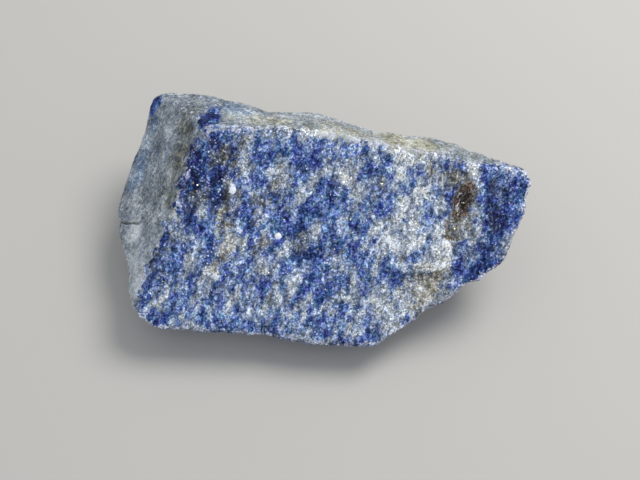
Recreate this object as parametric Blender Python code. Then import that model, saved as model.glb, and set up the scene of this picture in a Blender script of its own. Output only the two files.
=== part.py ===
"""Rough lapis lazuli: one broken lump of rock, lying on its widest break.

The lump is a block cut down by flat breaks, trimmed to the outline of its granular blue face,
and then worn: hollows are scooped out of it, its edges are softened and its breaks roughened.
Its faces are named as the lump lies: the blue face slopes down towards the front (-Y).
"""

import math

import bmesh
import bpy
from mathutils import Matrix, Vector, noise

MM = 0.001

# The blue face is flat and faces forwards and up. Heights and places below are in millimetres.
FACE_TILT = math.radians(30)
FACE_HEIGHT = 12.5
BLOCK_SIDE = 90.0
OUTLINE_DEPTH = 45.0

# The outline of the lump seen square on to the blue face: along the stone, then up the slope.
OUTLINE = [
    (-22.1, -13.9), (-24.1, -12.7), (-24.9, -9.8), (-25.3, -6.4), (-26.7, -2.6), (-27.5, 1.3),
    (-26.4, 5.7), (-24.6, 10.1), (-23.8, 14.0), (-23.4, 16.3), (-21.4, 17.2), (-15.8, 16.6),
    (-10.5, 15.4), (-7.2, 14.2), (-3.3, 14.3), (-0.6, 14.0), (3.3, 12.7), (7.2, 11.6),
    (11.1, 10.7), (15.6, 10.6), (19.3, 8.6), (22.9, 7.3), (26.9, 5.7), (25.7, 1.4),
    (24.1, -2.1), (22.4, -5.6), (19.6, -7.9), (15.8, -9.9), (12.6, -11.9), (9.5, -14.6),
    (6.3, -15.8), (1.9, -16.1), (-3.2, -15.6), (-8.8, -15.0), (-13.2, -14.5), (-17.6, -14.0),
]

# Flat breaks: the compass bearing of the way each faces (0 is +X, 90 is +Y), how far that way
# points above the horizon, both in degrees, a point that the break passes through, and how
# uneven it is, where 1 is the roughest.
BREAKS = {
    "blue_face": (-90, 60, (0.0, 0.0, FACE_HEIGHT), 0.35),
    "left_rind": (193, 51, (-18.8, 2.0, 13.6), 0.35),
    "top_rind": (83, 58, (-4.0, 9.6, 18.1), 0.5),
    "top_rind_right": (72, 57, (13.0, 7.1, 16.6), 0.5),
    "front_undercut": (-96, -48, (-3.0, -13.8, 4.2), 0.8),
    "front_left_undercut": (-138, -30, (-22.5, -10.9, 5.0), 0.8),
    "left_foot": (176, -28, (-27.6, 5.0, 7.0), 0.8),
    "left_back": (150, -10, (-23.4, 18.4, 13.0), 1.0),
    "back": (77, -12, (-15.8, 18.6, 13.0), 1.0),
    "back_foot": (88, -38, (-8.0, 15.6, 7.0), 1.0),
    "back_right": (64, -24, (16.8, 12.2, 13.5), 1.0),
    "right_end": (14, -32, (26.4, 4.0, 14.8), 0.9),
    "right_foot": (-38, -42, (21.3, -6.2, 9.2), 0.9),
    "front_right_undercut": (-62, -44, (11.3, -12.2, 5.4), 0.8),
    "base": (0, -90, (0.0, 0.0, -0.6), 0.5),
}

# Hollows left by flakes that broke away: the break they lie on, their middle, how long, wide
# and deep they are, and how far they are turned from running straight up their break, in degrees.
HOLLOWS = [
    ("left_rind", (-22.0, 8.0, 10.0), 22.0, 5.0, 0.5, 70),
    ("left_rind", (-25.0, -3.5, 7.0), 8.0, 5.0, 0.4, 40),
    ("blue_face", (14.0, -9.1, 7.2), 20.0, 9.5, 0.7, -54),
    ("blue_face", (-6.0, 2.0, 13.5), 26.0, 12.0, 0.3, -22),
    ("top_rind", (-14.7, 11.5, 17.7), 3.0, 2.4, 0.35, 0),
    ("top_rind", (-8.0, 12.5, 16.5), 11.0, 4.0, 0.5, 10),
    ("top_rind_right", (6.5, 11.5, 15.5), 9.0, 3.6, 0.5, 0),
    ("back", (-12.0, 16.5, 6.0), 20.0, 9.0, 1.3, 10),
    ("back_right", (16.0, 10.0, 9.0), 16.0, 9.0, 1.2, -20),
    ("back", (2.0, 13.5, 7.0), 10.0, 8.0, 1.0, 0),
    ("left_back", (-22.0, 14.0, 6.0), 11.0, 8.0, 1.0, 30),
    ("right_end", (21.5, 2.0, 9.0), 13.0, 8.0, 0.9, 20),
    ("right_foot", (15.0, -5.0, 4.0), 12.0, 7.0, 0.9, 0),
    ("front_undercut", (-10.0, -11.5, 2.0), 18.0, 5.0, 0.8, 4),
    ("front_undercut", (4.0, -12.0, 2.0), 10.0, 5.0, 0.7, -6),
    ("base", (-6.0, 8.0, 0.0), 14.0, 8.0, 1.4, 20),
    ("base", (9.0, 0.0, 0.0), 9.0, 7.0, 1.2, -30),
    ("base", (-19.0, -4.0, 0.0), 8.0, 6.0, 1.2, 60),
]
HOLLOW_ROUNDNESS = 4.0  # how many times deeper the scooping ball reaches than the hollow is

MESH_SPACING = 0.5
EDGE_SOFTENING = 1  # how many times the edges between the breaks are smoothed
BREAK_MERGES_WITHIN = 0.7  # how far from an edge the two breaks' roughness runs together
SWELL = (0.6, 9.0)  # height and length of the broad unevenness of the breaks
HACKLE = (0.4, 3.4)  # the same for the small steps that run across them
FOLIATION = Matrix.Rotation(math.radians(-22), 3, "Y") @ Matrix.Diagonal((1.0, 1.0, 0.55))
NOISE_PLACE = Vector((31.0, 7.0, 19.0))  # where in the endless noise the lump lies
TRIANGLES_KEPT = 8600

ROCK_COLOUR = (0.16, 0.20, 0.33, 1.0)
ROCK_ROUGHNESS = 0.6


def clear_scene():
    for obj in list(bpy.data.objects):
        bpy.data.objects.remove(obj, do_unlink=True)


def direction(bearing, rise):
    """The unit vector with this compass bearing and this angle above the horizon."""
    flat = math.cos(math.radians(rise))
    return Vector((
        flat * math.cos(math.radians(bearing)),
        flat * math.sin(math.radians(bearing)),
        math.sin(math.radians(rise)),
    ))


def on_face():
    """Turns and lifts what is drawn flat on z = 0 into the plane of the blue face."""
    return Matrix.Translation((0, 0, FACE_HEIGHT * MM)) @ Matrix.Rotation(FACE_TILT, 4, "X")


def new_object(name, bm):
    mesh = bpy.data.meshes.new(name)
    bm.to_mesh(mesh)
    bm.free()
    obj = bpy.data.objects.new(name, mesh)
    bpy.context.scene.collection.objects.link(obj)
    return obj


def as_cutter(obj):
    obj.hide_render = True
    obj.display_type = "WIRE"
    return obj


def broken_block():
    """The lump's flat breaks: a large block, with what lies outside each break cut off."""
    bm = bmesh.new()
    bmesh.ops.create_cube(bm, size=BLOCK_SIDE * MM)
    for bearing, rise, point, _ in BREAKS.values():
        cut = bmesh.ops.bisect_plane(
            bm,
            geom=bm.verts[:] + bm.edges[:] + bm.faces[:],
            plane_co=Vector(point) * MM,
            plane_no=direction(bearing, rise),
            clear_outer=True,
        )
        rim = [e for e in cut["geom_cut"] if isinstance(e, bmesh.types.BMEdge)]
        bmesh.ops.edgeloop_fill(bm, edges=rim)
    bmesh.ops.recalc_face_normals(bm, faces=bm.faces)
    return new_object("stone", bm)


def outline_prism():
    """A prism through the whole lump, square to the blue face, with the lump's outline."""
    bm = bmesh.new()
    corners = [bm.verts.new((x * MM, y * MM, OUTLINE_DEPTH * MM / 2)) for x, y in OUTLINE]
    top = bm.faces.new(corners)
    sides = bmesh.ops.extrude_face_region(bm, geom=[top])
    moved = [v for v in sides["geom"] if isinstance(v, bmesh.types.BMVert)]
    bmesh.ops.translate(bm, verts=moved, vec=(0, 0, -OUTLINE_DEPTH * MM))
    bmesh.ops.transform(bm, matrix=on_face(), verts=bm.verts)
    bmesh.ops.recalc_face_normals(bm, faces=bm.faces)
    return as_cutter(new_object("outline", bm))


def scooping_balls():
    """One stretched ball for each hollow, sunk into its break as deep as the hollow is."""
    bm = bmesh.new()
    for where, near, length, width, depth, turn in HOLLOWS:
        bearing, rise, point, _ = BREAKS[where]
        facing = direction(bearing, rise)
        middle = Vector(near) - facing * (Vector(near) - Vector(point)).dot(facing)
        reach = HOLLOW_ROUNDNESS * depth
        spread = math.sqrt(1 - ((reach - depth) / reach) ** 2)
        size = Matrix.Diagonal((length / 2 / spread, width / 2 / spread, reach, 1))
        upright = facing.to_track_quat("Z", "X").to_matrix().to_4x4()
        place = Matrix.Translation((middle + facing * (reach - depth)) * MM)
        spin = Matrix.Rotation(math.radians(turn), 4, "Z")
        bmesh.ops.create_icosphere(
            bm, subdivisions=4, radius=MM, matrix=place @ upright @ spin @ size
        )
    return bm


def scooped(stone):
    """Trims the block to its outline, takes out the hollows and softens every edge."""
    trim = stone.modifiers.new("trim", "BOOLEAN")
    trim.operation = "INTERSECT"
    trim.object = outline_prism()
    scoop = stone.modifiers.new("scoop", "BOOLEAN")
    scoop.operation = "DIFFERENCE"
    scoop.use_self = True
    scoop.object = as_cutter(new_object("balls", scooping_balls()))
    even = stone.modifiers.new("even", "REMESH")
    even.mode = "VOXEL"
    even.voxel_size = MESH_SPACING * MM
    soften = stone.modifiers.new("soften", "SMOOTH")
    soften.factor = 0.5
    soften.iterations = EDGE_SOFTENING
    graph = bpy.context.evaluated_depsgraph_get()
    return bpy.data.meshes.new_from_object(stone.evaluated_get(graph))


def roughness_at(place):
    """How uneven the breaks near this place are, each counting less the further off it is."""
    total = 0.0
    weights = 0.0
    for bearing, rise, point, roughness in BREAKS.values():
        away = abs(direction(bearing, rise).dot(place - Vector(point)))
        weight = math.exp(-away / BREAK_MERGES_WITHIN)
        total += weight * roughness
        weights += weight
    return total / weights


def unevenness(place):
    """How far the surface at this place stands out from its flat break, in millimetres."""
    swell_height, swell_length = SWELL
    hackle_height, hackle_length = HACKLE
    along_layers = FOLIATION @ place
    swell = noise.fractal(place / swell_length + NOISE_PLACE, 1.0, 2.0, 2)
    steps = noise.ridged_multi_fractal(
        along_layers / hackle_length + NOISE_PLACE, 1.0, 2.0, 3, 1.0, 2.0
    )
    return roughness_at(place) * (swell_height * swell + hackle_height * (steps - 1.0))


def roughened(mesh):
    bm = bmesh.new()
    bm.from_mesh(mesh)
    bm.normal_update()
    for vert in bm.verts:
        vert.co += vert.normal * (unevenness(vert.co / MM) * MM)
    bm.to_mesh(mesh)
    bm.free()
    return mesh


def ground():
    """What the lump lies on: everything below z = 0, which leaves it a flat foot."""
    bm = bmesh.new()
    bmesh.ops.create_cube(bm, size=BLOCK_SIDE * MM)
    bmesh.ops.translate(bm, verts=bm.verts, vec=(0, 0, -BLOCK_SIDE * MM / 2))
    return as_cutter(new_object("ground", bm))


def rock_material():
    material = bpy.data.materials.new("lapis_lazuli")
    material.use_nodes = True
    shader = material.node_tree.nodes["Principled BSDF"]
    shader.inputs["Base Color"].default_value = ROCK_COLOUR
    shader.inputs["Roughness"].default_value = ROCK_ROUGHNESS
    shader.inputs["Metallic"].default_value = 0.0
    return material


def main():
    clear_scene()
    stone = broken_block()
    mesh = roughened(scooped(stone))
    stone.modifiers.clear()
    stone.data = mesh
    thin = stone.modifiers.new("thin", "DECIMATE")
    thin.ratio = TRIANGLES_KEPT / (2 * len(mesh.polygons))
    flat_foot = stone.modifiers.new("flat_foot", "BOOLEAN")
    flat_foot.operation = "DIFFERENCE"
    flat_foot.object = ground()
    mesh.materials.clear()
    mesh.materials.append(rock_material())


main()
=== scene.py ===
import math
import random

import bmesh
import bpy
from mathutils import Euler, Matrix, Vector, noise
from mathutils.bvhtree import BVHTree


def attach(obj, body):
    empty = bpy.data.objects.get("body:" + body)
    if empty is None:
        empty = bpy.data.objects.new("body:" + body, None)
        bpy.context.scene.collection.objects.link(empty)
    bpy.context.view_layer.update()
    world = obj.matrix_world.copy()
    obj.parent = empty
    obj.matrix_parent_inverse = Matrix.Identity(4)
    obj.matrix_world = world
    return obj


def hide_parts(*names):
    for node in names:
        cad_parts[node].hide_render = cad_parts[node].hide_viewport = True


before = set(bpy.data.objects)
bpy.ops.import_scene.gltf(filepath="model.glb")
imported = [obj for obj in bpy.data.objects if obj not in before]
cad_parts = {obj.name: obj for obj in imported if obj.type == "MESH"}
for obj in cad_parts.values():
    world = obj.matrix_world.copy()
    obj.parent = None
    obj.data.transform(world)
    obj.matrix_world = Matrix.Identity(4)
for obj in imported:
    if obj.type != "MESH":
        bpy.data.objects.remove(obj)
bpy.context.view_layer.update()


# The stone.
# One lump of lapis lazuli: interlocked grains of blue lazurite, white calcite and grey diopside,
# about half a millimetre across. A hammer split the front flat, and weather left a pale rind on
# the left and the top. Its mesh is the solid's own, made fine enough to carry the grains.

MM = 0.001
FACE_TILT = math.radians(30)
FACE_MIDDLE = Vector((0.0, 0.0, 12.5))
FACE_NORMAL = Vector((0.0, -math.sin(FACE_TILT), math.cos(FACE_TILT)))
FACE_UP = Vector((0.0, math.cos(FACE_TILT), math.sin(FACE_TILT)))
FACE_DEPTH = 1.6  # how far below its plane, in millimetres, the uneven blue face still reaches
FACE_FLATNESS = 0.8  # cosine of the most that the blue face turns away from its plane

STONE_SPACING = 0.32  # between the points of the fine mesh, in mm, before some of it is split
STONE_SMOOTHING = 3


def on_face(place):
    """Where a place lies seen square on to the blue face: along it, up it and out of it, in mm."""
    offset = place - FACE_MIDDLE
    return offset.x, offset.dot(FACE_UP), offset.dot(FACE_NORMAL)


def smoothstep(low, high, value):
    t = min(max((value - low) / (high - low), 0.0), 1.0)
    return t * t * (3 - 2 * t)


def from_line(u, v, start, end):
    """How far a place is from the straight line between two others, in mm."""
    (u1, v1), (u2, v2) = start, end
    du, dv = u2 - u1, v2 - v1
    t = min(max(((u - u1) * du + (v - v1) * dv) / (du * du + dv * dv), 0.0), 1.0)
    return math.hypot(u - u1 - t * du, v - v1 - t * dv)


def link(name, data):
    obj = bpy.data.objects.new(name, data)
    bpy.context.scene.collection.objects.link(obj)
    return obj


def mesh_from(name, shape):
    """The finished bmesh as a mesh of that name."""
    mesh = bpy.data.meshes.new(name)
    shape.to_mesh(mesh)
    shape.free()
    return mesh


def fine_copy(node, spacing, smoothing):
    """A copy of a node's solid as an even, smoothed mesh of small squares."""
    solid = bmesh.new()
    solid.from_mesh(node.data)
    bmesh.ops.remove_doubles(solid, verts=solid.verts, dist=0.001 * MM)
    holder = link("fine", mesh_from("fine", solid))
    even = holder.modifiers.new("even", "REMESH")
    even.mode = "VOXEL"
    even.voxel_size = spacing * MM
    smooth = holder.modifiers.new("smooth", "SMOOTH")
    smooth.factor = 0.5
    smooth.iterations = smoothing
    graph = bpy.context.evaluated_depsgraph_get()
    fine = bpy.data.meshes.new_from_object(holder.evaluated_get(graph))
    bpy.data.objects.remove(holder)
    return fine


def is_blue_face(vert):
    _, _, out = on_face(vert.co / MM)
    return out > -FACE_DEPTH and vert.normal.dot(FACE_NORMAL) > FACE_FLATNESS


# Where the pale rind begins: a line up the left of the blue face and one along its top.
RIND_EDGE = [
    (-24.4, -15.0), (-23.8, -11.1), (-23.4, -9.1), (-22.8, -6.6), (-21.7, -4.5), (-20.8, -2.3),
    (-20.5, -0.4), (-18.5, -0.4), (-18.4, 0.3), (-19.5, 1.5), (-18.6, 2.5), (-18.9, 4.5),
    (-17.9, 5.8), (-17.5, 7.8), (-16.3, 9.6), (-14.9, 10.6), (-13.2, 11.5), (-8.9, 11.4),
    (-4.9, 11.8), (-3.2, 11.3), (-0.6, 10.5), (1.9, 9.8), (4.2, 9.8), (7.4, 9.1), (11.5, 7.8),
    (14.5, 8.1), (17.8, 7.1), (22.0, 6.9), (24.6, 6.3), (26.5, 5.0),
]
RIND_BLUR = 1.2  # how far to either side of that line the change from one to the other reaches


def outside_rind_edge(u, v):
    """How far a place is beyond the rind's edge, in mm; negative on the blue side of it."""
    nearest = min(zip(RIND_EDGE, RIND_EDGE[1:]), key=lambda ends: from_line(u, v, *ends))
    (u1, v1), (u2, v2) = nearest
    is_beyond = (u2 - u1) * (v - v1) > (v2 - v1) * (u - u1)
    away = from_line(u, v, *nearest)
    return away if is_beyond else -away


def rind_share(place, normal):
    """1 on the weathered rind and 0 on a fresh break, with the edge between them in the middle."""
    u, v, _ = on_face(place)
    # The line decides on top. Round the sides, what looks back or left is rind, and what looks
    # forward or right is broken.
    on_top = 0.5 + 0.5 * min(max(outside_rind_edge(u, v) / RIND_BLUR, -1.0), 1.0)
    on_sides = smoothstep(-0.5, 0.3, normal.y - 0.5 * normal.x)
    return on_sides + (on_top - on_sides) * smoothstep(0.05, 0.45, normal.dot(FACE_NORMAL))


GRAIN_SIZE = 0.6
GRAIN_LIFT = 0.05  # how far a grain stands out beyond its neighbours, in mm
GRAIN_SLOPE = 0.55  # twice the steepest lean of its flat top along any one axis
CELL_SCALES = (7.3, 5.1)  # so that even small neighbours draw lifts and slopes of their own


def grain_relief(place):
    """Grains that stand unevenly out of a fresh break, each cleaved flat at its own slope, in mm."""
    _, centres = noise.voronoi(place / GRAIN_SIZE)
    lift = noise.cell(centres[0] * CELL_SCALES[0])
    slope = noise.cell_vector(centres[0] * CELL_SCALES[1]) - Vector((0.5, 0.5, 0.5))
    return GRAIN_LIFT * lift + GRAIN_SLOPE * slope.dot(place - centres[0] * GRAIN_SIZE)


# A flake that came off the lower right of the blue face left a low step: the places along and up
# the face that it runs through, and how far the rock below it lies back, all in mm.
STEP_LINE = [(6.4, -5.7), (7.8, -6.3), (9.6, -6.9), (12.0, -6.8), (14.5, -6.7), (15.8, -6.3)]
STEP_DEPTH = 0.55
STEP_FULL = (8.4, 14.6)  # it has its full depth between these places along the face
STEP_RISER = 0.22  # how far down the face the step itself takes
STEP_FLOOR = (0.4, 4.5)  # how far below it the rock begins to come forward again, and is level


def step_relief(u, v):
    """The low step and the shallow flake below it, in mm."""
    for (u1, v1), (u2, v2) in zip(STEP_LINE, STEP_LINE[1:]):
        if u1 <= u <= u2:
            below = v1 + (v2 - v1) * (u - u1) / (u2 - u1) - v
            left_end = smoothstep(STEP_LINE[0][0], STEP_FULL[0], u)
            right_end = smoothstep(STEP_LINE[-1][0], STEP_FULL[1], u)
            riser = smoothstep(0.0, STEP_RISER, below)
            floor = smoothstep(STEP_FLOOR[1], STEP_FLOOR[0], below)
            return -STEP_DEPTH * left_end * right_end * riser * floor
    return 0.0


# A crack across the foot of the left rind: the line it runs along, as above, and its half-width
# and depth, in mm.
CRACK = [(-27.6, -0.4), (-26.7, -0.5), (-25.8, -0.7), (-25.0, -0.6), (-24.2, -0.7)]
CRACK_HALF_WIDTH = 0.1
CRACK_DEPTH = 0.3
CRACK_REACH = 0.7  # the mesh is made finer for it this far to either side


def from_crack(u, v):
    """How far a place is from the crack, in mm."""
    return min(from_line(u, v, *ends) for ends in zip(CRACK, CRACK[1:]))


def crack_share(place):
    """1 at the bottom of the crack and 0 beside it."""
    u, v, _ = on_face(place)
    return math.exp(-((from_crack(u, v) / CRACK_HALF_WIDTH) ** 2))


LUMP_SIZE = 1.3
FIBRE_SIZE = (0.3, 0.9, 0.9)
FRESH_LUMPS = 0.07  # in mm, as the next two are
WORN_LUMPS = 0.045
WORN_FIBRES = 0.02
WORN_GRAINS = 0.25  # how much of their relief the grains keep in the rind


def stone_relief(place, normal):
    """How far the rock's surface stands out from the smooth solid, in mm."""
    u, v, out = on_face(place)
    rind = rind_share(place, normal)
    grains = grain_relief(place)
    lumps = noise.fractal(place / LUMP_SIZE, 1.0, 2.0, 3)
    fibres = noise.noise(Vector([along / size for along, size in zip(place, FIBRE_SIZE)]))
    fresh = grains + FRESH_LUMPS * lumps
    worn = WORN_LUMPS * lumps + WORN_FIBRES * fibres + WORN_GRAINS * grains
    step = step_relief(u, v) if out > -FACE_DEPTH else 0.0
    return fresh + (worn - fresh) * rind + step - CRACK_DEPTH * crack_share(place)


def is_beside_crack(vert):
    u, v, _ = on_face(vert.co / MM)
    return from_crack(u, v) < CRACK_REACH


rock = bmesh.new()
rock.from_mesh(fine_copy(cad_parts["stone"], STONE_SPACING, STONE_SMOOTHING))
for is_there, cuts in ((is_blue_face, 1), (is_beside_crack, 2)):
    rock.normal_update()
    split = [edge for edge in rock.edges if all(is_there(vert) for vert in edge.verts)]
    bmesh.ops.subdivide_edges(rock, edges=split, cuts=cuts, use_grid_fill=True)
rock.normal_update()


def sharpness(vert):
    """How sharply the surface bends outwards here, as one over the radius of the bend, in mm."""
    total = 0.0
    for edge in vert.link_edges:
        away = vert.co - edge.other_vert(vert).co
        total += 2 * away.dot(vert.normal) / away.length_squared
    return total / len(vert.link_edges) * MM


def averaged(values, verts):
    """The values, one a vertex, each averaged with those of the vertices next to it."""
    return [
        (values[v.index] + sum(values[e.other_vert(v).index] for e in v.link_edges))
        / (1 + len(v.link_edges))
        for v in verts
    ]


rock.verts.index_update()
bruises = averaged([sharpness(v) for v in rock.verts], rock.verts)
for vert in rock.verts:
    place = vert.co / MM
    vert.co += vert.normal * (stone_relief(place, vert.normal) * MM)
    vert.co.z = max(vert.co.z, 0.0)
rock.normal_update()

# Streaks and clouds of colour, each a soft line from one place on the blue face, or beside it, to
# another: along, up, along, up, half-width, all in mm, then how strong it is. "blue" adds to the
# rock's blue or takes from it, "chip" is blue bared in the rind and "tinge" blue that shows
# through it, "dark" is the deepest colour, "rust" a stain of weathered pyrite, "grey" diopside
# and mica, "pale" chalky calcite and "olive" a yellowish crust. One "pale" streak, along the top
# of the rind, is also painted light: it makes that lit side lighter.
MARKS = {
    "blue": [
        (-15.4, 9.6, -18.0, 3.6, 2.0, 0.6),
        (-18.0, 3.5, -18.2, 0.6, 1.6, 0.35),
        (-20.8, -1.0, -23.2, -10.5, 1.5, 0.55),
        (-14.5, 7.5, -13.0, 1.0, 1.6, 0.25),
        (-9.5, 5.4, -11.0, 1.0, 1.6, 0.45),
        (-8.6, 10.0, -2.5, 9.4, 1.3, 0.3),
        (-6.0, 3.2, -6.6, 1.4, 1.0, 0.3),
        (-1.6, 7.6, 1.6, -2.6, 1.7, 0.45),
        (-3.4, -1.4, 0.0, -4.6, 2.3, 0.7),
        (4.9, 8.2, 7.0, 1.0, 1.6, 0.5),
        (2.4, -3.0, -1.0, -11.0, 1.8, 0.25),
        (-10.0, -8.4, -14.6, -8.6, 1.4, 0.35),
        (15.0, 6.4, 17.0, 6.0, 1.2, 0.4),
        (20.6, 5.4, 25.0, 4.2, 2.0, 0.55),
        (22.0, 1.5, 19.6, -6.0, 2.0, 0.55),
        (18.6, -6.6, 15.6, -9.2, 1.1, 0.5),
        (8.6, -6.6, 7.6, -8.0, 1.0, 0.1),
        (3.0, -12.0, -8.0, -13.2, 1.8, 0.15),
        (-5.0, 7.6, -7.6, 2.2, 1.0, -0.55),
        (-8.0, 2.0, -9.0, -3.0, 1.0, -0.3),
        (-13.0, 1.6, -12.8, -1.8, 0.8, -0.4),
        (-6.9, 2.8, -7.8, 1.2, 0.8, -0.6),
        (-7.2, -0.8, -8.2, -3.6, 1.0, -0.5),
        (-11.6, -2.6, -14.2, -6.4, 0.9, -0.3),
        (-10.7, 1.2, -10.2, 0.2, 0.9, 0.4),
        (-11.8, 1.6, -14.6, -9.6, 1.3, -0.5),
        (3.4, 8.0, 2.0, 3.4, 0.9, -0.5),
        (2.6, 0.6, 2.0, -4.6, 1.0, -0.35),
        (8.4, 8.0, 9.6, -1.0, 1.8, -0.55),
        (11.6, 7.4, 13.0, -2.0, 2.2, -0.45),
        (8.2, -2.0, 12.5, -4.6, 1.5, -0.5),
        (18.8, 7.4, 17.2, -1.6, 1.5, -0.8),
        (16.8, -1.6, 13.4, -9.4, 1.4, -0.8),
        (12.6, -7.4, 10.4, -12.0, 2.4, -0.8),
        (9.0, -13.4, 4.2, -9.0, 2.2, -0.5),
        (19.9, 1.8, 19.5, -1.6, 0.5, -1.0),
        (23.2, 3.0, 22.6, 1.8, 0.5, -0.5),
        (-16.4, -11.0, -16.6, -13.6, 1.3, -0.45),
        (-10.0, -12.4, -11.6, -13.4, 1.4, -0.3),
    ],
    "chip": [
        (-15.6, 12.4, -14.4, 13.2, 1.2, 1.1),
        (-14.6, 11.4, -14.0, 12.2, 0.9, 0.7),
        (-22.4, 15.9, -23.6, 14.4, 0.9, 1.2),
    ],
    "tinge": [
        (-24.6, -1.6, -23.8, -8.6, 1.0, 0.35),
        (-22.4, 13.0, -25.4, 4.0, 0.8, 0.7),
        (-24.6, 7.6, -24.0, 5.0, 0.7, 0.6),
        (-12.6, 14.4, -10.0, 13.8, 0.9, 0.9),
        (-20.6, 11.0, -21.6, 8.0, 1.4, 0.3),
    ],
    "dark": [
        (-17.0, 8.4, -17.0, 2.4, 2.2, 1.3),
        (-16.0, 12.2, -14.6, 13.4, 1.0, 0.9),
        (-12.6, 9.4, -14.0, 3.4, 2.0, 1.2),
        (-15.6, 3.0, -17.8, -1.0, 1.5, 0.7),
        (-20.8, -3.0, -22.4, -9.0, 1.4, 1.3),
        (-3.8, -2.2, -2.2, -4.6, 1.5, 1.3),
        (-1.6, 5.6, 0.4, 3.6, 1.1, 0.5),
        (5.4, 7.6, 7.2, 4.0, 1.0, 0.6),
        (20.8, 5.0, 24.0, 4.4, 1.8, 0.8),
        (22.0, 3.6, 20.0, -6.0, 2.0, 0.9),
        (21.8, 0.9, 21.6, -0.9, 1.0, 1.5),
        (14.6, 6.2, 16.6, 5.6, 0.9, 0.4),
    ],
    "rust": [
        (18.5, 4.0, 18.3, 2.6, 0.75, 0.8),
        (17.5, 3.5, 17.3, 2.5, 0.8, 0.7),
        (17.0, 2.5, 16.8, 1.6, 0.55, 0.9),
        (17.6, 1.7, 17.1, 0.8, 0.8, 0.75),
        (16.7, 0.6, 16.3, -0.2, 0.55, 0.45),
        (15.4, -0.5, 15.2, -1.0, 0.3, 0.5),
        (15.4, -2.4, 16.0, -2.6, 0.4, 0.5),
        (14.4, -7.4, 13.4, -9.4, 1.0, 0.25),
        (9.2, 8.6, 9.6, 7.6, 0.5, 0.3),
    ],
    "grey": [
        (-12.9, 8.8, -12.6, 3.2, 1.2, 0.8),
        (-12.2, 1.6, -12.8, -1.2, 0.9, 0.5),
        (-9.4, 1.6, -9.0, -3.4, 1.4, 0.6),
        (13.2, 6.2, 15.6, 4.8, 1.3, 0.6),
        (17.4, 5.4, 16.4, -3.2, 1.6, 0.75),
        (-1.6, 9.6, -1.2, 7.8, 0.7, 0.5),
        (-4.6, 6.4, -6.4, 3.4, 0.9, 0.5),
        (3.2, 0.4, 2.2, -3.4, 1.0, 0.5),
        (14.0, -7.4, 10.6, -10.4, 1.6, 0.6),
        (8.6, -7.4, 12.4, -7.8, 0.8, 0.6),
        (-12.2, -3.4, -13.0, -5.2, 1.0, 0.5),
        (-17.6, 13.0, -19.6, 2.0, 1.3, 0.9),
    ],
    "pale": [
        (-1.6, 10.8, 3.4, 10.2, 0.6, 1.0),
        (7.6, 8.8, 10.6, 8.2, 0.7, 1.0),
        (9.4, 7.0, 8.8, 0.6, 0.9, 0.4),
        (11.0, 6.6, 11.4, -2.6, 2.8, 0.5),
        # Painted light: this streak lightens the top of the rind, the side the window lights, and
        # smooths its felt.
        (-12.0, 13.8, 24.0, 8.0, 1.8, 0.5),
        (-24.4, -1.2, -23.8, -8.6, 1.4, 1.4),
        (-19.6, 6.4, -20.4, 1.2, 0.5, 0.9),
        (-20.4, 13.6, -21.4, 8.0, 0.9, 0.4),
        (14.8, -3.4, 14.4, -6.2, 1.0, 1.1),
        (15.4, -4.4, 15.6, -6.6, 0.9, 1.0),
        (2.8, 1.2, 2.2, -1.6, 0.9, 0.7),
        (-9.6, 2.2, -9.0, 0.8, 1.1, 0.5),
        (-13.6, -12.4, -14.2, -13.4, 1.4, 0.5),
        (-2.0, -12.2, -1.8, -13.4, 1.2, 0.5),
        (8.4, -2.6, 8.2, -3.6, 0.9, 1.4),
        (8.4, -5.5, 13.0, -6.1, 0.6, 0.9),
        (12.4, -8.4, 8.6, -12.4, 2.2, 0.5),
        (19.9, 1.6, 19.6, -1.2, 0.5, 0.4),
        (18.4, 7.2, 19.7, 3.2, 0.8, 1.2),
        (3.4, 7.6, 2.4, 4.8, 0.6, 0.8),
        (-4.8, 7.2, -5.6, 5.6, 0.6, 0.5),
        (-16.2, -12.2, -16.6, -13.6, 1.0, 0.6),
        (-10.2, -12.6, -11.4, -13.2, 1.0, 0.5),
    ],
    "olive": [
        (-12.0, 13.4, 22.0, 8.4, 1.5, 0.4),
        (-9.0, 12.6, -5.0, 12.2, 1.0, 0.4),
        (0.0, 11.6, 5.0, 10.4, 0.9, 0.3),
        (8.4, 10.0, 13.2, 9.0, 1.2, 0.9),
        (14.8, -6.4, 13.8, -8.4, 0.7, 0.6),
        (13.4, -8.6, 12.0, -11.0, 0.8, 0.7),
        (-15.6, -3.0, -15.2, -4.4, 0.6, 0.3),
        (-13.0, 1.4, -12.8, -1.6, 0.8, 0.3),
        (-6.9, 2.8, -7.8, 1.2, 0.8, 0.4),
        (-7.2, -0.8, -8.2, -3.6, 1.0, 0.4),
        (-11.6, -2.6, -14.2, -6.4, 0.9, 0.5),
        (-17.4, 12.6, -19.4, 3.0, 1.6, 0.1),
    ],
}


def along_streaks(streaks, u, v):
    """What these streaks add up to at a place: each fades away from its own line."""
    total = 0.0
    for u1, v1, u2, v2, half_width, strength in streaks:
        away = from_line(u, v, (u1, v1), (u2, v2))
        total += strength * math.exp(-((away / half_width) ** 2))
    return total


shares = {"bruise": bruises, "rind": [], "crack": [], **{name: [] for name in MARKS}}
for vert in rock.verts:
    place = vert.co / MM
    u, v, _ = on_face(place)
    shares["rind"].append(rind_share(place, vert.normal))
    shares["crack"].append(crack_share(place))
    for name, streaks in MARKS.items():
        shares[name].append(along_streaks(streaks, u, v))
rock_surface = BVHTree.FromBMesh(rock)
stone_mesh = mesh_from("lapis_stone", rock)
for name, values in shares.items():
    stone_mesh.attributes.new(name, "FLOAT", "POINT").data.foreach_set("value", values)
stone_mesh.shade_smooth()
lapis_stone = link("lapis_stone", stone_mesh)


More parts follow.
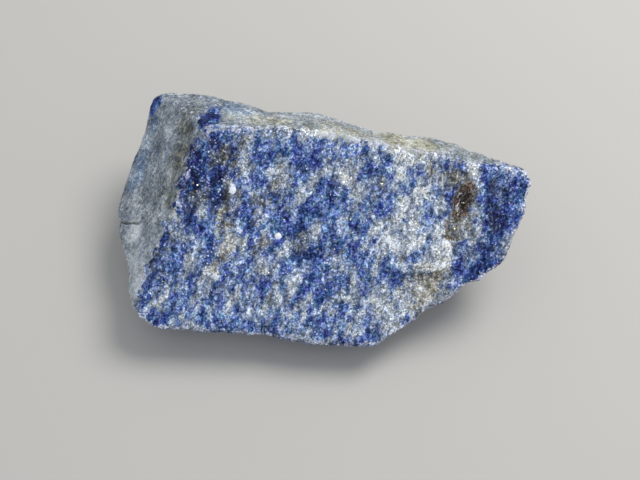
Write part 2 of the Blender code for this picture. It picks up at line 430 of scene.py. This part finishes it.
class Nodes:
    """Adds nodes to one node tree and links their sockets."""

    def __init__(self, tree):
        self.tree = tree

    def add(self, kind, settings=None, **inputs):
        node = self.tree.nodes.new(kind)
        for key, value in (settings or {}).items():
            setattr(node, key, value)
        for key, value in inputs.items():
            self.feed(node.inputs[key.replace("_", " ")], value)
        return node

    def feed(self, socket, value):
        if isinstance(value, bpy.types.NodeSocket):
            self.tree.links.new(value, socket)
        else:
            socket.default_value = value

    def math(self, operation, a, b=0.0, c=0.0, clamp=False):
        node = self.tree.nodes.new("ShaderNodeMath")
        node.operation = operation
        node.use_clamp = clamp
        for socket, value in zip(node.inputs, (a, b, c)):
            self.feed(socket, value)
        return node.outputs[0]

    def mix(self, factor, a, b):
        """Two colours mixed; inputs 6 and 7 and output 2 are the node's sockets for colours."""
        node = self.tree.nodes.new("ShaderNodeMix")
        node.data_type = "RGBA"
        self.feed(node.inputs[0], factor)
        self.feed(node.inputs[6], a)
        self.feed(node.inputs[7], b)
        return node.outputs[2]

    def total(self, start, *terms):
        """The start plus each value times its own weight."""
        for value, weight in terms:
            start = self.math("MULTIPLY_ADD", value, weight, start)
        return start

    def vector(self, operation, *values):
        """Vectors or colours worked out one from another; a linked number counts for all three."""
        node = self.add("ShaderNodeVectorMath", {"operation": operation})
        for socket, value in zip(node.inputs, values):
            self.feed(socket, value)
        return node.outputs["Value" if operation == "DOT_PRODUCT" else "Vector"]

    def ramp(self, factor, stops):
        node = self.tree.nodes.new("ShaderNodeValToRGB")
        elements = node.color_ramp.elements
        while len(elements) < len(stops):
            elements.new(1.0)
        for element, (position, colour) in zip(elements, stops):
            element.position = position
            element.color = (*colour, 1.0)
        self.feed(node.inputs[0], factor)
        return node.outputs[0]

    def between(self, value, low, high):
        """0 where the value is low and 1 where it is high, with a smooth change between them."""
        settings = {"interpolation_type": "SMOOTHSTEP"}
        return self.add(
            "ShaderNodeMapRange", settings, Value=value, From_Min=low, From_Max=high
        ).outputs[0]

    def rescale(self, value, low, high):
        """A value that goes from 0 to 1 made to go from low to high."""
        return self.add("ShaderNodeMapRange", Value=value, To_Min=low, To_Max=high).outputs[0]

    def noise(self, vector, size, detail, roughness):
        return self.add(
            "ShaderNodeTexNoise",
            Vector=vector, Scale=1.0 / size, Detail=detail, Roughness=roughness,
        ).outputs[0]

    def bump(self, height, strength, distance):
        return self.add(
            "ShaderNodeBump", Height=height, Strength=strength, Distance=distance
        ).outputs[0]

    def attribute(self, name):
        return self.add("ShaderNodeAttribute", {"attribute_name": name}).outputs["Fac"]


def new_material(name):
    """A material, what adds nodes to it, and its shader."""
    material = bpy.data.materials.new(name)
    material.use_nodes = True
    return material, Nodes(material.node_tree), material.node_tree.nodes["Principled BSDF"]


def srgb(red, green, blue):
    """A colour as the eye counts it, 0 to 255, turned into the linear values of a shader."""
    return tuple(
        c / 12.92 if c <= 0.04045 else ((c + 0.055) / 1.055) ** 2.4
        for c in (red / 255, green / 255, blue / 255)
    )


# How the layers of the rock run: out of the blue face's plane, leaning a little to the right as
# they go up it, and with every cluster of grains twice as long that way. Its lighter and darker
# streaks are drawn out as much, but stand more upright.
LAYER_LEAN = math.radians(22)
STREAK_LEAN = math.radians(8)
LAYER_STRETCH = 0.5


def rock_places(nodes, lean, stretch):
    """Places in the rock, in mm, with the second axis along its layers, then drawn out that way."""
    coordinates = nodes.add("ShaderNodeTexCoord").outputs["Object"]
    turned = nodes.add(
        "ShaderNodeMapping", Vector=coordinates,
        Rotation=(-FACE_TILT, 0.0, lean), Scale=(1 / MM, 1 / MM, 1 / MM),
    ).outputs[0]
    drawn_out = nodes.add("ShaderNodeMapping", Vector=turned, Scale=(1.0, stretch, 1.0))
    return turned, drawn_out.outputs[0]


RAGGEDNESS = 1.2  # how many times finer than the grains the waves of their outlines are
RAGGED_REACH = 0.45  # how far those waves push the outlines, as a share of a grain


def grain_group():
    """Grains packed together: each has a tint and a shade of its own and one flat cleaved top."""
    group = bpy.data.node_groups.new("packed_grains", "ShaderNodeTree")
    group.interface.new_socket("Place", in_out="INPUT", socket_type="NodeSocketVector")
    group.interface.new_socket("Grain", in_out="INPUT", socket_type="NodeSocketFloat")
    for name in ("Tint", "Shade", "Gloss", "Height"):
        group.interface.new_socket(name, in_out="OUTPUT", socket_type="NodeSocketFloat")
    nodes = Nodes(group)
    inputs = nodes.add("NodeGroupInput").outputs
    outputs = nodes.add("NodeGroupOutput").inputs
    density = nodes.math("DIVIDE", 1.0, inputs["Grain"])
    ragged = nodes.add(
        "ShaderNodeTexNoise",
        Vector=inputs["Place"], Scale=nodes.math("MULTIPLY", density, RAGGEDNESS),
    )
    spread = nodes.math("MULTIPLY", inputs["Grain"], RAGGED_REACH)
    shifted = nodes.vector("MULTIPLY_ADD", ragged.outputs["Color"], spread, inputs["Place"])
    cells = nodes.add("ShaderNodeTexVoronoi", Vector=shifted, Scale=density).outputs
    across = nodes.vector("SUBTRACT", shifted, cells["Position"])
    lean = nodes.vector("SUBTRACT", cells["Color"], (0.5, 0.5, 0.5))
    parts = nodes.add("ShaderNodeSeparateColor", Color=cells["Color"]).outputs
    for name, value in zip(("Tint", "Shade", "Gloss"), parts):
        nodes.feed(outputs[name], value)
    nodes.feed(outputs["Height"], nodes.vector("DOT_PRODUCT", across, lean))
    return group


packed_grains = grain_group()

# What each mineral looks like in its darkest grains, in two middle tones and in its lightest: two
# blues of lazurite, calcite, grey diopside, the weathered rind, its yellowish crust and rust.
TONES = (0.10, 0.38, 0.62, 0.92)
MINERALS = {
    "deep_blue": [(12, 18, 80), (50, 70, 156), (114, 138, 208), (208, 224, 250)],
    "bright_blue": [(6, 28, 76), (42, 82, 142), (110, 148, 198), (206, 228, 246)],
    "calcite": [(62, 68, 80), (102, 113, 130), (154, 167, 188), (236, 243, 250)],
    "diopside": [(58, 55, 50), (108, 107, 100), (160, 160, 154), (236, 237, 232)],
    "rind": [(28, 32, 38), (82, 91, 102), (140, 151, 163), (226, 233, 238)],
    "crust": [(34, 31, 22), (92, 90, 73), (152, 152, 134), (232, 232, 218)],
    "rust": [(26, 20, 18), (76, 65, 58), (134, 119, 108), (204, 194, 180)],
}

# Red grains in the rust, grains crushed by knocks, and painted glints on pale grains and blue ones.
DARK_RED = (*srgb(96, 44, 36), 1.0)
CRUSHED = (*srgb(206, 210, 232), 1.0)
PAINTED_GLINT_WHITE = (*srgb(232, 240, 250), 1.0)
PAINTED_GLINT_BLUE = (*srgb(176, 204, 255), 1.0)

# How large each kind of unevenness is, in mm.
COARSE_GRAIN = 0.5
MIDDLE_GRAIN = 0.3
FINE_GRAIN = 0.18
CLUSTER_SIZE = 2.2
STREAK_SIZE = 1.0
HUE_SIZE = 1.0
CLOUD_SIZE = 2.6
FELT_SIZE = 0.5


def shades(nodes, light, name):
    return nodes.ramp(light, list(zip(TONES, [srgb(*colour) for colour in MINERALS[name]])))


def around_zero(nodes, value, middle=0.5):
    """The value less its middle, so that it adds in some grains what it takes away in others."""
    return nodes.math("SUBTRACT", value, middle)


def lapis_material():
    material, nodes, shader = new_material("lapis_rock")
    shader.inputs["Specular IOR Level"].default_value = 0.15
    place, layered = rock_places(nodes, LAYER_LEAN, LAYER_STRETCH)
    _, streaked = rock_places(nodes, STREAK_LEAN, LAYER_STRETCH)
    bruise, rind, crack = [nodes.attribute(name) for name in ("bruise", "rind", "crack")]
    blue, chip, tinge, dark, rust, grey, pale, olive = [nodes.attribute(name) for name in MARKS]
    coarse, middle, fine = [
        nodes.add("ShaderNodeGroup", {"node_tree": packed_grains}, Place=where, Grain=size).outputs
        for where, size in ((layered, COARSE_GRAIN), (place, MIDDLE_GRAIN), (place, FINE_GRAIN))
    ]
    coarse_shade = around_zero(nodes, coarse["Shade"])
    middle_shade = around_zero(nodes, middle["Shade"])
    fine_shade = around_zero(nodes, fine["Shade"], 0.56)
    clusters = around_zero(nodes, nodes.noise(layered, CLUSTER_SIZE, 2.0, 0.7))
    uneven = around_zero(nodes, nodes.noise(streaked, STREAK_SIZE, 2.0, 0.7))
    hues = around_zero(nodes, nodes.noise(place, HUE_SIZE, 1.0, 0.6))

    # How blue: the streaks, ragged clusters a millimetre or two across, and a little by grain.
    blueness = nodes.total(
        0.45, (clusters, 7.0), (blue, 0.6), (coarse["Tint"], 0.5), (chip, 1.0), (rust, -1.4),
        (grey, -0.5), (pale, -0.6),
    )
    is_blue = nodes.between(blueness, -0.35, 1.3)

    # How light: paler where less blue, then by grain.
    unlike = nodes.total(0.22, (is_blue, 0.14))
    light = nodes.total(
        0.675, (is_blue, -0.19), (uneven, 1.3), (coarse_shade, 0.16), (middle_shade, unlike),
        (dark, -0.17), (chip, -0.12), (grey, -0.14), (pale, 0.17), (rust, -0.3),
    )

    # The fresh rock: calcite and warmer diopside where it isn't blue, and two blues where it is.
    warmth = nodes.total(olive, (hues, 3.0), (grey, 0.7))
    not_blue = nodes.mix(
        nodes.between(warmth, 0.0, 0.8),
        shades(nodes, light, "calcite"), shades(nodes, light, "diopside"),
    )
    blues = nodes.mix(
        nodes.between(hues, -0.12, 0.12),
        shades(nodes, light, "deep_blue"), shades(nodes, light, "bright_blue"),
    )
    fresh = nodes.mix(is_blue, not_blue, blues)

    # Rust soaks in between the grains, and a few grains in it are dark red.
    soaked = nodes.total(1.0, (uneven, 2.5), (middle_shade, 1.2), (coarse_shade, 1.2))
    stain = nodes.math("MULTIPLY", soaked, rust)
    is_red = nodes.between(middle["Tint"], 0.95, 0.97)
    stained = nodes.mix(is_red, shades(nodes, light, "rust"), DARK_RED)
    fresh = nodes.mix(nodes.between(stain, 0.15, 0.65), fresh, stained)

    # The rind: pale and dull, cloudy and finely uneven, with blue only where a chip bares it.
    clouds = around_zero(nodes, nodes.noise(place, CLOUD_SIZE, 2.0, 0.5))
    felt = around_zero(nodes, nodes.noise(place, FELT_SIZE, 2.0, 0.8))
    felted = nodes.total(0.85, (pale, -0.4))
    rind_light = nodes.total(
        0.6, (clouds, 0.6), (felt, felted), (middle_shade, 0.12), (uneven, 0.3), (grey, -0.12),
        (pale, 0.12), (crack, -0.25),
    )
    crusty = nodes.total(olive, (hues, 2.0), (grey, 0.5), (crack, 1.0))
    rind_colour = nodes.mix(
        nodes.between(crusty, 0.0, 1.2),
        shades(nodes, rind_light, "rind"), shades(nodes, rind_light, "crust"),
    )
    bluish = nodes.between(nodes.total(tinge, (clusters, 1.5)), 0.1, 0.9)
    rind_colour = nodes.mix(
        nodes.math("MULTIPLY", bluish, 0.4), rind_colour, shades(nodes, rind_light, "bright_blue")
    )
    bared = nodes.total(chip, (clusters, 1.2), (coarse_shade, 0.5), (middle_shade, 0.4))
    rind_colour = nodes.mix(nodes.between(bared, 0.4, 0.7), rind_colour, fresh)
    ragged = nodes.total(rind, (clusters, 1.0), (coarse_shade, 0.35))
    is_rind = nodes.between(ragged, 0.46, 0.54)
    colour = nodes.mix(is_rind, fresh, rind_colour)

    # Edges that have been knocked show crushed, whitish grains.
    knocked = nodes.total(bruise, (uneven, 2.5), (coarse_shade, 0.8), (middle_shade, 0.5))
    is_crushed = nodes.math("MULTIPLY", nodes.between(knocked, 0.5, 0.95), 0.8)
    colour = nodes.mix(is_crushed, colour, CRUSHED)

    # The finest grains are only lighter or darker, strongly so on the fresh break, and the light
    # ones are a little whiter too.
    strength = nodes.total(2.5, (is_blue, 0.4), (is_rind, -1.6), (rust, 0.6))
    sparkle = nodes.math("POWER", 2.0, nodes.math("MULTIPLY", fine_shade, strength))
    colour = nodes.vector("MULTIPLY", colour, sparkle)
    whiter = nodes.math("MAXIMUM", nodes.total(-0.05, (sparkle, 0.05)), 0.0)
    colour = nodes.vector("ADD", colour, whiter)

    # A few of the finest grains get painted glints: colour lightened as if they caught the light.
    painted_glint_odds = nodes.total(fine["Tint"], (uneven, 0.3), (rust, -1.0))
    glint = nodes.between(painted_glint_odds, 0.92, 0.98)
    painted_glint_strength = nodes.total(0.65, (is_blue, -0.2), (is_rind, -0.45))
    bright = nodes.mix(is_blue, PAINTED_GLINT_WHITE, PAINTED_GLINT_BLUE)
    colour = nodes.mix(nodes.math("MULTIPLY", glint, painted_glint_strength, clamp=True), colour, bright)
    nodes.feed(shader.inputs["Base Color"], colour)

    # Each grain's flat top leans its own way.
    tops = nodes.total(
        0.0, (coarse["Height"], 0.4), (middle["Height"], 0.5), (fine["Height"], 0.6)
    )
    nodes.feed(shader.inputs["Normal"], nodes.bump(tops, 1.0, 1.0 * MM))
    nodes.feed(shader.inputs["Roughness"], nodes.rescale(fine["Gloss"], 0.35, 0.8))
    return material


lapis_stone.data.materials.append(lapis_material())
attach(lapis_stone, "root")
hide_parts("stone")


# Grains of calcite.
# White crystals of calcite that grew in the rock with the other grains. Seven stand out, the
# largest as big as a pinhead, and small ones glint all over the blue face, half sunk in it.

CALCITE_LARGE = [
    # along and up the face, half-length, half-width and how far they are turned
    (-5.9, -2.3, 0.54, 0.5, 20),
    (-11.7, 3.5, 0.62, 0.54, 70),
    (7.9, -2.8, 0.46, 0.38, 10),
    (8.7, -3.4, 0.4, 0.32, 40),
    (14.9, -6.1, 0.34, 0.28, 60),
    (3.3, 5.0, 0.26, 0.2, 80),
    (9.9, 8.3, 0.3, 0.24, 0),
]
CALCITE_HEIGHT = 0.4  # of their half-width, and as much lies below the rock's surface
CALCITE_SMALL = 220
CALCITE_SIZES = (0.07, 0.15)
CALCITE_SLIMNESS = 0.7  # half-width of a small one, of its half-length
CALCITE_CLOUDS = 0.5
CALCITE_COLOURS = [
    (0.3, srgb(198, 210, 236)), (0.5, srgb(238, 244, 255)), (0.7, srgb(252, 254, 255)),
]
UNEVEN_CORNERS = (0.8, 1.15)

SCATTER_ALONG = (-24.0, 26.0)  # how far along and up the face grains are scattered, in mm
SCATTER_UP = (-15.0, 11.0)
RIND_CLEARANCE = 0.4
SPOT_FLATNESS = 0.7  # as FACE_FLATNESS, for the rock under a grain
WELL_ABOVE = 10.0  # mm out of the face, further than anything on it


def spot_on_face(u, v):
    """The spot on the rock at this place on the blue face and the way the rock faces there."""
    start = FACE_MIDDLE + Vector((u, 0.0, 0.0)) + FACE_UP * v + FACE_NORMAL * WELL_ABOVE
    spot, facing, _, _ = rock_surface.ray_cast(start * MM, -FACE_NORMAL)
    return spot, facing


def random_spot(chance):
    """A spot on the blue face clear of the rind and of the stone's edge."""
    while True:
        u = chance.uniform(*SCATTER_ALONG)
        v = chance.uniform(*SCATTER_UP)
        if outside_rind_edge(u, v) < -RIND_CLEARANCE:
            spot, facing = spot_on_face(u, v)
            if spot and facing.dot(FACE_NORMAL) > SPOT_FLATNESS:
                return spot


def any_way_round(spot, chance):
    """Where a grain lies that is at this spot and turned at random."""
    turn = Euler([chance.uniform(0, math.tau) for _ in range(3)])
    return Matrix.Translation(spot) @ turn.to_matrix().to_4x4()


def crystal(grains, place, half_length, half_width, half_height, chance):
    """One crystal with flat, uneven sides."""
    size = Matrix.Diagonal((half_length * MM, half_width * MM, half_height * MM, 1.0))
    made = bmesh.ops.create_icosphere(grains, subdivisions=1, radius=1.0)["verts"]
    for vert in made:
        vert.co *= chance.uniform(*UNEVEN_CORNERS)
    bmesh.ops.transform(grains, matrix=place @ size, verts=made)


def calcite_material():
    material, nodes, shader = new_material("calcite")
    shader.inputs["Roughness"].default_value = 0.4
    place, _ = rock_places(nodes, LAYER_LEAN, LAYER_STRETCH)
    cloudy = nodes.noise(place, CALCITE_CLOUDS, 3.0, 0.7)
    nodes.feed(shader.inputs["Base Color"], nodes.ramp(cloudy, CALCITE_COLOURS))
    nodes.feed(shader.inputs["Normal"], nodes.bump(cloudy, 0.5, 0.05 * MM))
    return material


chance = random.Random(11)
grains = bmesh.new()
for u, v, half_length, half_width, turn in CALCITE_LARGE:
    spot, _ = spot_on_face(u, v)
    lying = Matrix.Translation(spot) @ Matrix.Rotation(FACE_TILT, 4, "X")
    turned = lying @ Matrix.Rotation(math.radians(turn), 4, "Z")
    crystal(grains, turned, half_length, half_width, half_width * CALCITE_HEIGHT, chance)
for _ in range(CALCITE_SMALL):
    spot = random_spot(chance)
    half_length = chance.uniform(*CALCITE_SIZES)
    half_width = half_length * CALCITE_SLIMNESS
    turned = any_way_round(spot, chance)
    crystal(grains, turned, half_length, half_width, half_width, chance)
calcite_grains = link("calcite_grains", mesh_from("calcite_grains", grains))
calcite_grains.data.materials.append(calcite_material())
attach(calcite_grains, "root")


# Grains of pyrite.
# Pale brassy cubes of pyrite, a quarter of a millimetre across and smaller, that grew in the rock
# and stand half out of it: most in its grey and rusty streaks, and some anywhere in the blue.

PYRITE_NESTS = [
    # along and up the face, how far they scatter along and up, and how many lie there
    (16.7, 1.8, 0.3, 0.7, 4),
    (16.2, -1.4, 0.4, 1.0, 3),
    (15.2, -5.6, 0.3, 0.4, 8),
    (13.4, -9.0, 0.5, 1.2, 8),
    (-13.5, -0.6, 0.25, 0.8, 10),
    (-13.8, -4.4, 0.6, 1.0, 5),
    (-17.4, -4.8, 0.4, 0.3, 4),
    (-16.3, 4.0, 0.3, 0.3, 3),
    (-14.0, 10.4, 0.5, 0.4, 3),
    (-12.4, 7.4, 0.6, 1.6, 4),
    (14.0, 5.6, 0.9, 0.7, 4),
    (1.0, -9.0, 1.4, 1.6, 4),
]
PYRITE_STRAY = 16
PYRITE_SIZES = (0.1, 0.24)
PYRITE_EDGE = 0.12  # how wide its worn edges are, of its width
PYRITE_TARNISH = 0.6
PYRITE_COLOURS = [
    (0.35, srgb(170, 164, 136)), (0.5, srgb(222, 217, 186)), (0.65, srgb(248, 245, 226)),
]


def pyrite_material():
    material, nodes, shader = new_material("pyrite")
    shader.inputs["Metallic"].default_value = 1.0
    place, _ = rock_places(nodes, LAYER_LEAN, LAYER_STRETCH)
    tarnish = nodes.noise(place, PYRITE_TARNISH, 2.0, 0.6)
    nodes.feed(shader.inputs["Base Color"], nodes.ramp(tarnish, PYRITE_COLOURS))
    nodes.feed(shader.inputs["Roughness"], nodes.rescale(tarnish, 0.6, 0.25))
    return material


def cube(grains, place, width):
    """One cube with worn edges."""
    made = bmesh.ops.create_cube(grains, size=width * MM, matrix=place)["verts"]
    edges = {edge for vert in made for edge in vert.link_edges}
    bmesh.ops.bevel(
        grains, geom=list(edges), offset=width * PYRITE_EDGE * MM, offset_type="OFFSET",
        affect="EDGES", segments=1, profile=0.5, material=-1,
    )


chance = random.Random(5)
grains = bmesh.new()
spots = [random_spot(chance) for _ in range(PYRITE_STRAY)]
for u, v, along, up, count in PYRITE_NESTS:
    for _ in range(count):
        spot, _ = spot_on_face(chance.gauss(u, along), chance.gauss(v, up))
        spots.append(spot)
for spot in filter(None, spots):
    turned = any_way_round(spot, chance)
    cube(grains, turned, chance.uniform(*PYRITE_SIZES))
pyrite_grains = link("pyrite_grains", mesh_from("pyrite_grains", grains))
pyrite_grains.data.materials.append(pyrite_material())
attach(pyrite_grains, "root")


# The floor.
# A plain pale sheet with a dull surface, wide enough to fill the view from above. The stone rests
# on it by its own weight.

FLOOR_SIDE = 3.0  # in metres
FLOOR_COLOUR = (0.50, 0.49, 0.47, 1.0)

ground = bmesh.new()
bmesh.ops.create_grid(ground, x_segments=1, y_segments=1, size=FLOOR_SIDE / 2)
floor = link("floor", mesh_from("floor", ground))
floor_paint, _, floor_shader = new_material("floor_paint")
floor_shader.inputs["Base Color"].default_value = FLOOR_COLOUR
floor_shader.inputs["Roughness"].default_value = 0.8
floor.data.materials.append(floor_paint)


# Light and camera.
# Soft daylight from one window behind, above and to the right, and from the room all round. The
# camera is square on to the blue face, so it looks down at sixty degrees.

LENS = 60.0
SENSOR = 36.0
VIEW_WIDTH = 80.64  # mm of the blue face's plane across the picture
VIEW_MIDDLE = (-0.63, -2.77)  # the picture's middle, along the face and up it, in mm
WINDOW_PLACE = Vector((0.175, 0.156, 0.32))  # in metres, as the next two are
WINDOW_TARGET = Vector((0.0, 0.0, 0.008))
WINDOW_WIDTH = 0.22
WINDOW_WATTS = 1.15
WINDOW_COLOUR = (1.0, 0.98, 0.94)
ROOM_COLOUR = (0.93, 0.96, 1.0, 1.0)
ROOM_STRENGTH = 0.62

view_centre = FACE_MIDDLE + Vector((VIEW_MIDDLE[0], 0.0, 0.0)) + FACE_UP * VIEW_MIDDLE[1]
view_distance = VIEW_WIDTH * LENS / SENSOR
camera_data = bpy.data.cameras.new("camera")
camera_data.lens = LENS
camera_data.sensor_width = SENSOR
camera_data.clip_start = 0.001
camera = link("camera", camera_data)
camera.location = (view_centre + FACE_NORMAL * view_distance) * MM
camera.rotation_euler = Euler((FACE_TILT, 0.0, 0.0))
bpy.context.scene.camera = camera

window_data = bpy.data.lights.new("window", "AREA")
window_data.shape = "DISK"
window_data.size = WINDOW_WIDTH
window_data.energy = WINDOW_WATTS
window_data.color = WINDOW_COLOUR
window = link("window", window_data)
window.location = WINDOW_PLACE
window.rotation_euler = (WINDOW_TARGET - WINDOW_PLACE).to_track_quat("-Z", "Y").to_euler()

room = bpy.data.worlds.new("room")
room.use_nodes = True
room_light = room.node_tree.nodes["Background"]
room_light.inputs["Color"].default_value = ROOM_COLOUR
room_light.inputs["Strength"].default_value = ROOM_STRENGTH
bpy.context.scene.world = room
bpy.context.scene.view_settings.view_transform = "Standard"
